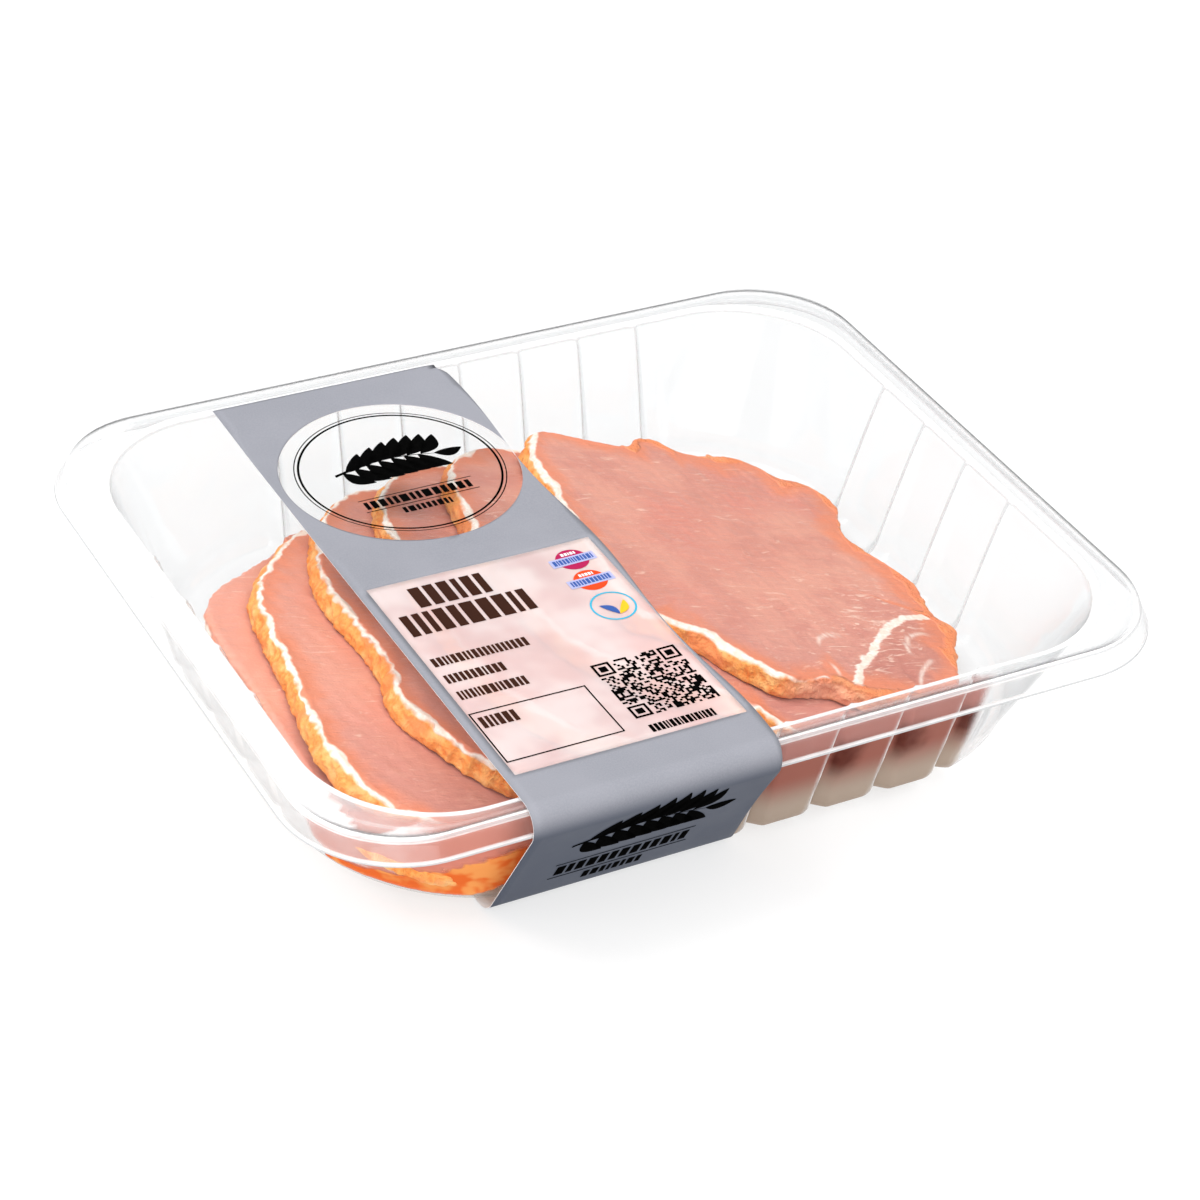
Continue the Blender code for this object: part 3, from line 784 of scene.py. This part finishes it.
def label_columns(s):
    """Places across the label: its sides, the panel's sides and even steps between, in one row for each
    distance along it."""
    inner = np.linspace(PANEL_LEFT, WINDOW_CENTRE[0], HALF_COLUMNS)
    outer = np.linspace(WINDOW_CENTRE[0], PANEL_RIGHT, HALF_COLUMNS)[1:]
    fixed = np.concatenate(([LABEL_LEFT], inner, outer))
    return np.column_stack((np.tile(fixed, (len(s), 1)), label_right(s)))


class Print:
    """Sheets and flat shapes in print coordinates, laid at one height over the label's path."""

    def __init__(self, height):
        self.height = height
        self.points = []
        self.faces = []
        self.total = 0

    def sheet(self, x, s):
        """Adds a grid of print coordinates."""
        rows, columns = x.shape
        self.points.append(on_label(x, s, self.height).reshape(-1, 3))
        self.faces.append(grid_faces(rows, columns, first=self.total)[:, ::-1])
        self.total += rows * columns

    def bar(self, left, right, start, stop):
        """A filled rectangle, in millimetres across and along."""
        rows = max(2, int(abs(stop - start) / 3) + 2)
        columns = max(2, int(abs(right - left) / 3) + 2)
        self.sheet(*patch(left * MM, right * MM, start * MM, stop * MM, columns, rows))

    def ring(self, x, s, outer, inner):
        """A ring between two radii in millimetres, or a disc where the inner one is next to nothing."""
        angle = np.radians(np.linspace(0.0, 360.0, RING_POINTS))[None, :]
        radius = np.linspace(outer, inner, 2 if outer - inner < 3 else 4)[:, None]
        self.sheet((x + radius * np.cos(angle)) * MM, (s + radius * np.sin(angle)) * MM)

    def frame(self, left, right, start, stop, line):
        """A rectangle drawn with a line of the given width."""
        self.bar(left, right, start, start + line)
        self.bar(left, right, stop - line, stop)
        self.bar(left, left + line, start + line, stop - line)
        self.bar(right - line, right, start + line, stop - line)

    def leaf(self, x, s, length, width, angle):
        """A leaf from its stalk outwards: half-width = width x sin(pi t) ^ 0.8, drawn along an angle."""
        t = np.linspace(0.0, 1.0, 15)[:, None]
        across = np.linspace(-1.0, 1.0, 5)[None, :]
        half = width / 2 * np.sin(math.pi * np.clip(t, 0.01, 0.99)) ** 0.8
        bend = 0.12 * length * np.sin(math.pi * t)
        a, b = t * length + 0 * across, across * half + bend
        c, d = math.cos(math.radians(angle)), math.sin(math.radians(angle))
        self.sheet((x + a * c - b * d) * MM, (s + a * d + b * c) * MM)

    def finish(self, name, *materials, slot="printed_paper", attributes=None):
        """Makes the gathered shapes one piece."""
        return add_piece(name, np.vstack(self.points), np.vstack(self.faces), materials, attributes)


def build_label(stock, paper, clear, panel):
    """The grey stock in patches round its window and panel, and the clear and milky sheets in them."""
    middle, centre = WINDOW_CENTRE
    start, stop = centre - WINDOW_RADIUS, centre + WINDOW_RADIUS
    s = centre - WINDOW_RADIUS * np.cos(np.linspace(0, math.pi, WINDOW_ROWS))[:, None]
    half = window_rows(s)
    x = label_columns(s)
    inner, outer, right = x[:, :HALF_COLUMNS + 1], x[:, HALF_COLUMNS:], x[:, -1:]
    sheets = [
        (LABEL_LEFT + (inner - LABEL_LEFT) * (middle - half - LABEL_LEFT) / (middle - LABEL_LEFT), s),
        (right + (outer - right) * (right - middle - half) / (right - middle), s),
    ]
    whole = slice(None)
    for first, last, rows, columns in (
        (0.0, start, 16, whole),
        (stop, PANEL_START, 10, whole),
        (PANEL_START, PANEL_STOP, 40, slice(0, 2)),
        (PANEL_START, PANEL_STOP, 40, slice(-2, None)),
        (PANEL_STOP, RIM_START, 8, whole),
        (RIM_START, FRONT_START, 30, whole),
        (FRONT_START, FRONT_STOP, 16, whole),
        (FRONT_STOP, LABEL_LENGTH, 60, whole),
    ):
        along = np.linspace(first, last, rows)[:, None]
        sheets.append((label_columns(along)[:, columns], along))
    ground = Print(0.0)
    for across, along in sheets:
        ground.sheet(across, along)
    piece = ground.finish("label_stock", stock, paper)
    weld = piece.modifiers.new("Seams", "WELD")
    weld.merge_threshold = 0.02 * MM
    give_wall(piece, 0.15 * MM, 1.0)
    piece.modifiers["Wall"].material_offset = 1
    piece.modifiers["Wall"].material_offset_rim = 1
    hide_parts("label")

    window = Print(CLEAR_LIFT)
    window.sheet(middle + half * np.linspace(-1.0, 1.0, WINDOW_COLUMNS)[None, :], s)
    bare = np.zeros(window.total)
    window.finish("label_window", clear, slot="clear_film", attributes={"haze_and_highlight": bare, "edge": bare})
    veil = Print(CLEAR_LIFT)
    veil.sheet(*patch(PANEL_LEFT, PANEL_RIGHT, PANEL_START, PANEL_STOP, 31, 40))
    give_wall(veil.finish("label_panel", panel), 0.1 * MM, 1.0)


def word(print_, left, right, start, stop, seed, width):
    """A plain stand-in for a word: a row of solid upright blocks of seeded widths."""
    draw = np.random.default_rng(seed)
    at = left
    while at < right - 0.3 * width:
        size = min(width * draw.uniform(0.35, 0.85), right - at)
        print_.bar(at, at + size, start, stop)
        at += size + 0.24 * width


def sprig(print_, x, s, length, leaves, size):
    """A herb sprig: a curved stem with paired leaves that shrink towards its tip."""
    t = np.linspace(0.0, 1.0, 40)[:, None]
    stem_x, stem_s = x + length * t, s - 0.09 * length * np.sin(math.pi * t)
    side = np.linspace(-1, 1, 3)[None, :] * 0.45 * (1.1 - t)
    print_.sheet((stem_x + 0 * side) * MM, (stem_s + side) * MM)
    for k in range(leaves):
        share = 0.08 + 0.84 * k / leaves
        at_x, at_s = x + length * share, s - 0.09 * length * math.sin(math.pi * share)
        big = size * (0.65 + 0.5 * math.sin(math.pi * (0.15 + 0.75 * share)))
        print_.leaf(at_x, at_s, big, 0.42 * big, 48)
        print_.leaf(at_x + 0.9, at_s, big, 0.42 * big, -48)
    print_.leaf(x + 0.94 * length, s - 0.02 * length, size * 0.8, 0.36 * size, 0)


def code_square(print_, left, start, size, cells):
    """A square code of seeded cells with three corner squares, drawn as runs along each row."""
    draw = np.random.default_rng(7)
    dark = draw.random((cells, cells)) < 0.5
    ring = np.ones((7, 7), bool)
    ring[1:6, 1:6] = False
    ring[2:5, 2:5] = True
    for r, c in ((0, 0), (0, cells - 7), (cells - 7, 0)):
        dark[max(r - 1, 0):r + 8, max(c - 1, 0):c + 8] = False
        dark[r:r + 7, c:c + 7] = ring
    unit = size / cells
    for r in range(cells):
        edges = np.flatnonzero(np.diff(np.concatenate(([0], dark[r].astype(int), [0]))))
        for a, b in zip(edges[::2], edges[1::2]):
            print_.bar(left + a * unit, left + b * unit, start + r * unit, start + (r + 1) * unit)


def build_print(inks):
    """All that is printed on the label, in millimetres across and along from its back end."""
    back, front = LABEL_BACK / MM, (FRONT_START + FRONT_STOP) / 2 / MM
    x0, s0 = WINDOW_CENTRE[0] / MM, WINDOW_CENTRE[1] / MM
    dark = Print(INK_LIFTS[0])
    dark.ring(x0, s0, 26.4, 26.1)
    dark.ring(x0, s0, 25.5, 24.9)
    sprig(dark, x0 - 16.0, s0 - 3.6, 29.0, 7, 9.4)
    dark.bar(-49.2, -18.6, back - 32.6, back - 32.3)
    dark.bar(-49.2, -18.6, back - 27.5, back - 27.2)
    word(dark, -48.4, -19.4, back - 31.5, back - 28.3, 11, 2.6)
    word(dark, -40.4, -27.4, back - 26.2, back - 23.8, 12, 2.0)
    code_square(dark, -28.7, back + 48.2, 22.0, 33)
    word(dark, -27.6, -10.6, back + 73.4, back + 76.2, 13, 1.2)
    dark.frame(-63.0, -33.2, back + 54.2, back + 73.3, 0.4)
    sprig(dark, -53.0, front - 7.2, 36.0, 8, 10.0)
    dark.bar(-54.0, -18.0, front + 2.2, front + 2.6)
    word(dark, -53.0, -19.0, front + 3.8, front + 8.4, 14, 3.0)
    dark.bar(-54.0, -18.0, front + 9.6, front + 10.0)
    word(dark, -44.0, -28.0, front + 11.4, front + 14.8, 15, 2.4)
    dark.finish("label_print_black", inks["black"])

    title = Print(INK_LIFTS[0])
    for left, right, start, stop, seed, width in (
        (-54.5, -35.5, 5.3, 13.3, 21, 3.9),
        (-61.2, -28.8, 14.8, 23.2, 22, 4.0),
        (-61.8, -37.2, 32.3, 35.6, 23, 1.6),
        (-61.8, -46.5, 39.1, 42.4, 24, 1.6),
        (-61.8, -44.5, 45.7, 49.0, 25, 1.6),
        (-61.7, -52.2, 56.2, 60.3, 26, 1.9),
    ):
        word(title, left, right, back + start, back + stop, seed, width)
    title.finish("label_print_brown", inks["brown"])

    badge = -12.2
    for colour, at, radius, hole in (
        ("magenta", 9.0, 4.1, 0.02),
        ("orange", 18.2, 4.1, 0.02),
        ("cyan", 29.5, 5.6, 5.1),
    ):
        shape = Print(INK_LIFTS[0])
        shape.ring(badge, back + at, radius, hole)
        shape.finish(f"label_badge_{colour}", inks[colour])
    band, marks, leaf, pale = (Print(INK_LIFTS[layer]) for layer in (1, 2, 3, 1))
    for at, seed in ((9.2, 31), (18.4, 32)):
        band.bar(badge - 5.9, badge + 5.9, back + at - 1.6, back + at + 1.6)
        word(marks, badge - 5.2, badge + 5.2, back + at - 1.0, back + at + 1.0, seed, 1.0)
        word(pale, badge - 1.9, badge + 1.9, back + at - 3.2, back + at - 2.1, seed + 10, 0.9)
    marks.leaf(badge, back + 33.0, 5.6, 2.0, -125)
    leaf.leaf(badge, back + 33.0, 5.6, 2.0, -55)
    band.finish("label_badge_bands", inks["lilac"])
    marks.finish("label_badge_marks", inks["blue"])
    leaf.finish("label_badge_yellow", inks["yellow"])
    pale.finish("label_badge_white", inks["white"])


# Slices

def closed_curve(corners, count):
    """A smooth closed curve through points given in millimetres, at even steps along its length."""
    knots = np.array(corners, float) * MM
    steps = np.linspace(0.0, 1.0, 40, endpoint=False)[:, None]
    before, after, later = (np.roll(knots, shift, axis=0) for shift in (1, -1, -2))
    parts = [
        0.5 * (2 * p1 + (p2 - p0) * steps + (2 * p0 - 5 * p1 + 4 * p2 - p3) * steps**2
               + (3 * p1 - p0 - 3 * p2 + p3) * steps**3)
        for p0, p1, p2, p3 in zip(before, knots, after, later)
    ]
    dense = np.vstack(parts + [parts[0][:1]])
    length = np.concatenate(([0.0], np.cumsum(np.hypot(*np.diff(dense, axis=0).T))))
    even = np.linspace(0.0, length[-1], count, endpoint=False)
    return np.column_stack([np.interp(even, length, dense[:, axis]) for axis in (0, 1)])


def slice_top(flat, left, number):
    """Height of a slice's upper face: a slope down to the right that bends down towards the front, and
    more so at the front left of the first slice."""
    x, y = flat[..., 0], flat[..., 1]
    droop = FRONT_DROOP
    if number == 1:
        droop = droop + FIRST_DROOP * np.clip((FIRST_DROOP_RIGHT - (x - left)) / FIRST_DROOP_RUN, 0.0, 1.0)
    return SLICE_TOP - SLICE_SLOPE * (x - left) - droop * (np.minimum(y, 0.0) / FRONT_END) ** 2


def signed_distance(flat, path):
    """Distance from each point to the nearest straight stretch of a path, negative on its right side."""
    nearest = np.full(flat.shape[:-1], 1.0)
    signed = nearest.copy()
    for start, step in zip(path[:-1], np.diff(path, axis=0)):
        off = flat - start
        share = np.clip((off * step).sum(-1) / (step @ step), 0.0, 1.0)
        gap = np.hypot(*np.moveaxis(off - share[..., None] * step, -1, 0))
        side = np.sign(step[0] * off[..., 1] - step[1] * off[..., 0])
        signed = np.where(gap < nearest, gap * side, signed)
        nearest = np.minimum(nearest, gap)
    return signed


def slice_character(number, outline, share, left):
    """Round the outline: how far the crust climbs over the rim, how wide the white fat is and how far the
    side bulges, all in mm, how much painted shade darkens the crust, and how rosy the crust is."""
    u, y = (outline[:, 0] - left) / MM, outline[:, 1] / MM
    left_side = smooth_step((60 - u) / 14)
    wobble = loop_ripple(share, 16, 50 + number)
    coarse = loop_ripple(share, 6, 60 + number)
    # Painted shade: the crust at the front right, seen through the wall, darkens towards the front.
    brown = 0.92 * smooth_step((-62 - y) / 5) * smooth_step((outline[:, 0] / MM + 10) / 10)
    bulge = 0.3 + 0.8 * left_side * smooth_step((y + 70) / 8)
    if number == SLICE_COUNT:
        left_side = smooth_step((46 - u) / 6) * smooth_step((64 - y) / 4)
        bare = smooth_step((u - 24) / 6) * smooth_step((46 - u) / 5) * smooth_step((y - 20) / 10)
        thin = smooth_step((u - 20) / 8) * smooth_step(-y / 20)
        fat = left_side * (1.6 - 0.7 * thin + 0.6 * wobble) - (1 - left_side) * 2.0 - 3.0 * bare
        coat = (1 - left_side) * (2.6 + 1.8 * wobble + 1.2 * coarse - 2.4 * bare)
        coat += left_side * (0.5 * thin - 0.5)
        rosy = 0.85 * smooth_step((u - 26) / 9)
        bulge = bulge - 0.5 * smooth_step((u - 20) / 8) * smooth_step(-y / 20)
        return coat, fat, bulge, brown, rosy
    if number == 1:
        shown = smooth_step((-54 - y) / 6)
        return -7.0 + 6.5 * shown + 0.4 * wobble, np.full(len(u), -2.5), 0.25 + 0.9 * shown, brown, 0.0 * u
    fat = left_side * (1.15 + 0.55 * wobble + 0.35 * coarse) - (1 - left_side) * 2.0
    coat = (1 - left_side) * (1.8 + wobble) - 0.35 * left_side + 0.35 * coarse
    return coat, fat, bulge, brown, 0.6 * (1 - left_side)


def slice_levels():
    """Rings of a slice as (distance in from the rim, share of the way on to the middle, depth, rim value),
    lengths in mm: the top face, the rounded rim, the side, and the face below."""
    edge, thick = 1.5, SLICE_THICKNESS / MM
    face = RIM_MIDDLE - 12.0
    levels = [(12.0, way, 0.0, 12.0 + face * way) for way in np.linspace(1.0, 0.0, 40)]
    levels += [(inset, 0.0, 0.0, inset) for inset in 1.5 + 10.0 * np.linspace(1.0, 0.02, 22) ** 1.3]
    for turn in np.linspace(0.0, math.pi / 2, 7):
        levels.append((edge * (1 - math.sin(turn)), 0.0, 0.7 * edge * (1 - math.cos(turn)), 1.5 - 1.4 * turn))
    levels += [(0.0, 0.0, depth * thick, -0.7 - 4.0 * depth) for depth in np.linspace(0.26, 0.80, 12)]
    for turn in np.linspace(0.3, math.pi / 2, 4):
        depth = thick - 0.4 * edge * (1 - math.sin(turn))
        levels.append((0.6 * edge * (1 - math.cos(turn)), 0.0, depth, RIM_BELOW))
    levels += [(inset, 0.0, thick, RIM_BELOW) for inset in (3.0, 6.0, 12.0)]
    levels += [(12.0, way, thick, RIM_BELOW) for way in (0.3, 0.6, 1.0)]
    return levels


def build_slice(number, material):
    """One slice: rings from the middle of its top face out to the rim, down its rough side and in again
    below. A ring is the outline moved in, lowered along the thickness, and roughened near the rim."""
    count = OUTLINE_POINTS
    left = LAST_SLICE_LEFT - SLICE_PITCH * (SLICE_COUNT - number)
    right_side = LAST_RIGHT_SIDE if number == SLICE_COUNT else RIGHT_SIDE
    outline = closed_curve(LEFT_EDGES[number - 1] + right_side, count) + (left, 0.0)
    share = np.arange(count) / count
    middle = outline.mean(axis=0)
    tangent = np.roll(outline, -3, axis=0) - np.roll(outline, 3, axis=0)
    tangent /= np.hypot(*tangent.T)[:, None]
    normal = np.column_stack((-tangent[:, 1], tangent[:, 0]))
    normal *= np.sign(((outline - middle) * normal).sum(1))[:, None]
    radial = outline - middle
    reach = np.hypot(*radial.T)
    across = np.clip((radial * normal).sum(1), 0.4 * reach, None)
    coat, fat, bulge, brown, rosy = slice_character(number, outline, share, left)
    rough = 0.18 * loop_ripple(share, 45, 10 + number) + 0.12 * loop_ripple(share, 110, 20 + number) - 0.25
    spikes = np.clip(loop_ripple(share, 75, 30 + number) - 0.9, 0, 1) * np.clip(coat - 1, 0, 2) * 0.55
    jut = (rough + spikes) * MM
    if number == 1:
        jut = jut + 1.3 * MM * smooth_step((40 - (outline[:, 0] - left) / MM) / 12)
    taper = FIRST_TAPER if number == 1 else 0.0
    thicker = np.full(count, 1.07)
    if number == 1:
        thicker = 1.0 + 0.3 * smooth_step((-50 * MM - outline[:, 1]) / (16 * MM))
    down = -np.array([SLICE_SLOPE, 0.0, 1.0]) / math.hypot(SLICE_SLOPE, 1.0)
    around = share * TURN
    path = np.array(SEAM, float) * MM + (left, 0.0)

    rings, rim, seam, threaded = [], [], [], []
    for inset, way, depth, rim_value in slice_levels():
        scale = 1.0 - inset * MM / across
        scale = scale + (0.03 - scale) * way
        near_rim = math.exp(-inset / 2.0)
        deep = min(depth / (SLICE_THICKNESS / MM), 1.0)
        belly = math.sin(math.pi * deep)
        lump = 0.30 * belly * np.sin(23 * around + 1.3 * np.sin(7 * around) + 1.1 * depth)
        lump += 0.16 * belly * np.sin(61 * around + 2.0 * np.sin(11 * around) - 2.3 * depth)
        swell = bulge * smooth_step(deep / 0.65) * near_rim
        flat = middle + radial * (scale * (1.0 - taper * deep))[:, None]
        flat = flat + normal * (jut * near_rim + (lump + swell) * MM)[:, None]
        height = slice_top(flat, left, number)
        if depth == 0.0:
            wave = 0.16 * ripple(flat[:, 0], flat[:, 1], 26 * MM, 80 + number)
            wave += 0.06 * ripple(flat[:, 0], flat[:, 1], 5 * MM, 90 + number)
            height = height + (wave - 0.1) * MM * smooth_step(inset / 3.0)
        rings.append(np.column_stack((flat, height)) + depth * MM * thicker[:, None] * down)
        rim.append(np.full(count, rim_value))
        on_face = number == SLICE_COUNT and depth < 1.0
        seam.append(signed_distance(flat, path) / MM if on_face else np.full(count, NO_SEAM))
        thread = np.zeros(count)
        for centre, radius, at, spread in THREADS if on_face else ():
            off = np.abs(np.hypot(*(flat - (left, 0) - np.array(centre) * MM).T) / MM - radius)
            away = np.hypot(*(flat - (left, 0) - np.array(at) * MM).T) / MM
            thread = np.maximum(thread, np.clip(1 - off / 0.8, 0, 1) * smooth_step((spread - away) / 3))
        threaded.append(thread)
    centre = np.append(middle, slice_top(middle, left, number))
    points = np.vstack(rings + [centre, centre + SLICE_THICKNESS * thicker.mean() * down])
    total = len(rings) * count
    faces = [
        *grid_faces(len(rings), count, True),
        *fan_faces(0, count, total)[:, [1, 0, 2]],
        *fan_faces(total - count, count, total + 1),
    ]
    if (outline[1] - outline[0]) @ (-radial[0][1], radial[0][0]) > 0:
        faces = [face[::-1] for face in faces]
    every = len(rings)
    values = {
        key: np.append(np.concatenate(rows), ends)
        for key, rows, ends in (
            ("rim", rim, (RIM_MIDDLE, RIM_BELOW)),
            ("coat", [coat] * every, (0.0, 0.0)),
            ("fat", [fat] * every, (NO_FAT, NO_FAT)),
            ("brown", [brown] * every, (0.0, 0.0)),
            ("seam", seam, (NO_SEAM, NO_SEAM)),
            ("threaded", threaded, (0.0, 0.0)),
            ("rosy", [rosy] * every, (0.0, 0.0)),
        )
    }
    piece = add_piece(f"loin_slice_{number}", points, faces, [material], values)
    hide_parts(f"slice_{number}")


# Stage, light and camera

def build_stage():
    """A white floor that glows, as on a light table, a sky that is brightest overhead, and three
    broad lamps: a high one behind on the left, a low one on the left and a low one in front."""
    material, net, shader, _ = new_material("white_floor")
    net.feed(shader, Base_Color=(0.30, 0.30, 0.30), Roughness=0.9, Specular_IOR_Level=0.0,
             Emission_Color=(1.0, 1.0, 1.0), Emission_Strength=0.67)
    mesh = bpy.data.meshes.new("floor")
    corners = [(-FLOOR_REACH, -FLOOR_REACH, 0), (FLOOR_REACH, -FLOOR_REACH, 0),
               (FLOOR_REACH, FLOOR_REACH, 0), (-FLOOR_REACH, FLOOR_REACH, 0)]
    mesh.from_pydata(corners, [], [(0, 1, 2, 3)])
    mesh.materials.append(material)
    floor = new_object("floor", mesh)
    floor.location = (0.0, 0.0, FLOOR_LEVEL)

    scene = bpy.context.scene
    scene.world = bpy.data.worlds.new("soft_sky")
    scene.world.use_nodes = True
    net = Shading(scene.world.node_tree)
    height = net.axes(net.add("TexCoord")["Generated"])["Z"]
    sky = net.tree.nodes["Background"]
    net.feed(sky, Color=(1.0, 1.0, 1.0), Strength=net.remap(height, 0.35, 0.97, 0.05, 1.60))
    for name, strength, spread, azimuth, elevation in (
        ("overhead", 1.0, 25, -125, 60),
        ("left", 0.7, 40, -85, 32),
        ("front", 1.5, 60, -15, 30),
    ):
        light = bpy.data.lights.new(name, "SUN")
        light.energy = strength
        light.angle = math.radians(spread)
        lamp = new_object(name, light)
        towards = Vector(direction(math.radians(azimuth), math.radians(elevation)))
        lamp.rotation_mode = "QUATERNION"
        lamp.rotation_quaternion = towards.to_track_quat("Z", "Y")
    scene.view_settings.view_transform = "Standard"
    scene.cycles.transparent_max_bounces = 20
    scene.cycles.max_bounces = 3
    scene.cycles.diffuse_bounces = 2
    scene.cycles.use_light_tree = False


def build_camera():
    """The photograph's view: a long lens from the front left, looking down and rolled a little."""
    back = direction(CAMERA_AZIMUTH, CAMERA_ELEVATION)
    right = np.array([math.cos(CAMERA_AZIMUTH), math.sin(CAMERA_AZIMUTH), 0.0])
    up = np.cross(back, right)
    across = math.cos(CAMERA_ROLL) * right + math.sin(CAMERA_ROLL) * up
    above = -math.sin(CAMERA_ROLL) * right + math.cos(CAMERA_ROLL) * up
    data = bpy.data.cameras.new("camera")
    data.lens = CAMERA_LENS
    data.sensor_width = CAMERA_SENSOR
    data.clip_start = 0.05
    camera = new_object("camera", data)
    camera.matrix_world = Matrix.LocRotScale(
        Vector(place(CAMERA_AIM + CAMERA_DISTANCE * back)),
        Matrix(np.column_stack((across, above, back)).tolist()).to_quaternion(),
        Vector((1.0, 1.0, 1.0)),
    )
    bpy.context.scene.camera = camera


build_camera()
build_stage()
clear_plastic = clear_sheet("clear_plastic", (0.70, 0.71, 0.72), 0.022, True)
clear_film = clear_sheet("clear_film", (0.86, 0.87, 0.88), 0.012)
build_tray(clear_plastic)
build_film(clear_film)
stock, paper = printed_stock("blue_grey_stock"), plain_paper("paper_back")
build_label(stock, paper, clear_film, milky_panel("milky_panel"))
build_print({colour: ink(f"ink_{colour}", INKS[colour]) for colour in INKS})
loin = pork("marinated_loin")
for slice_number in range(1, SLICE_COUNT + 1):
    build_slice(slice_number, loin)
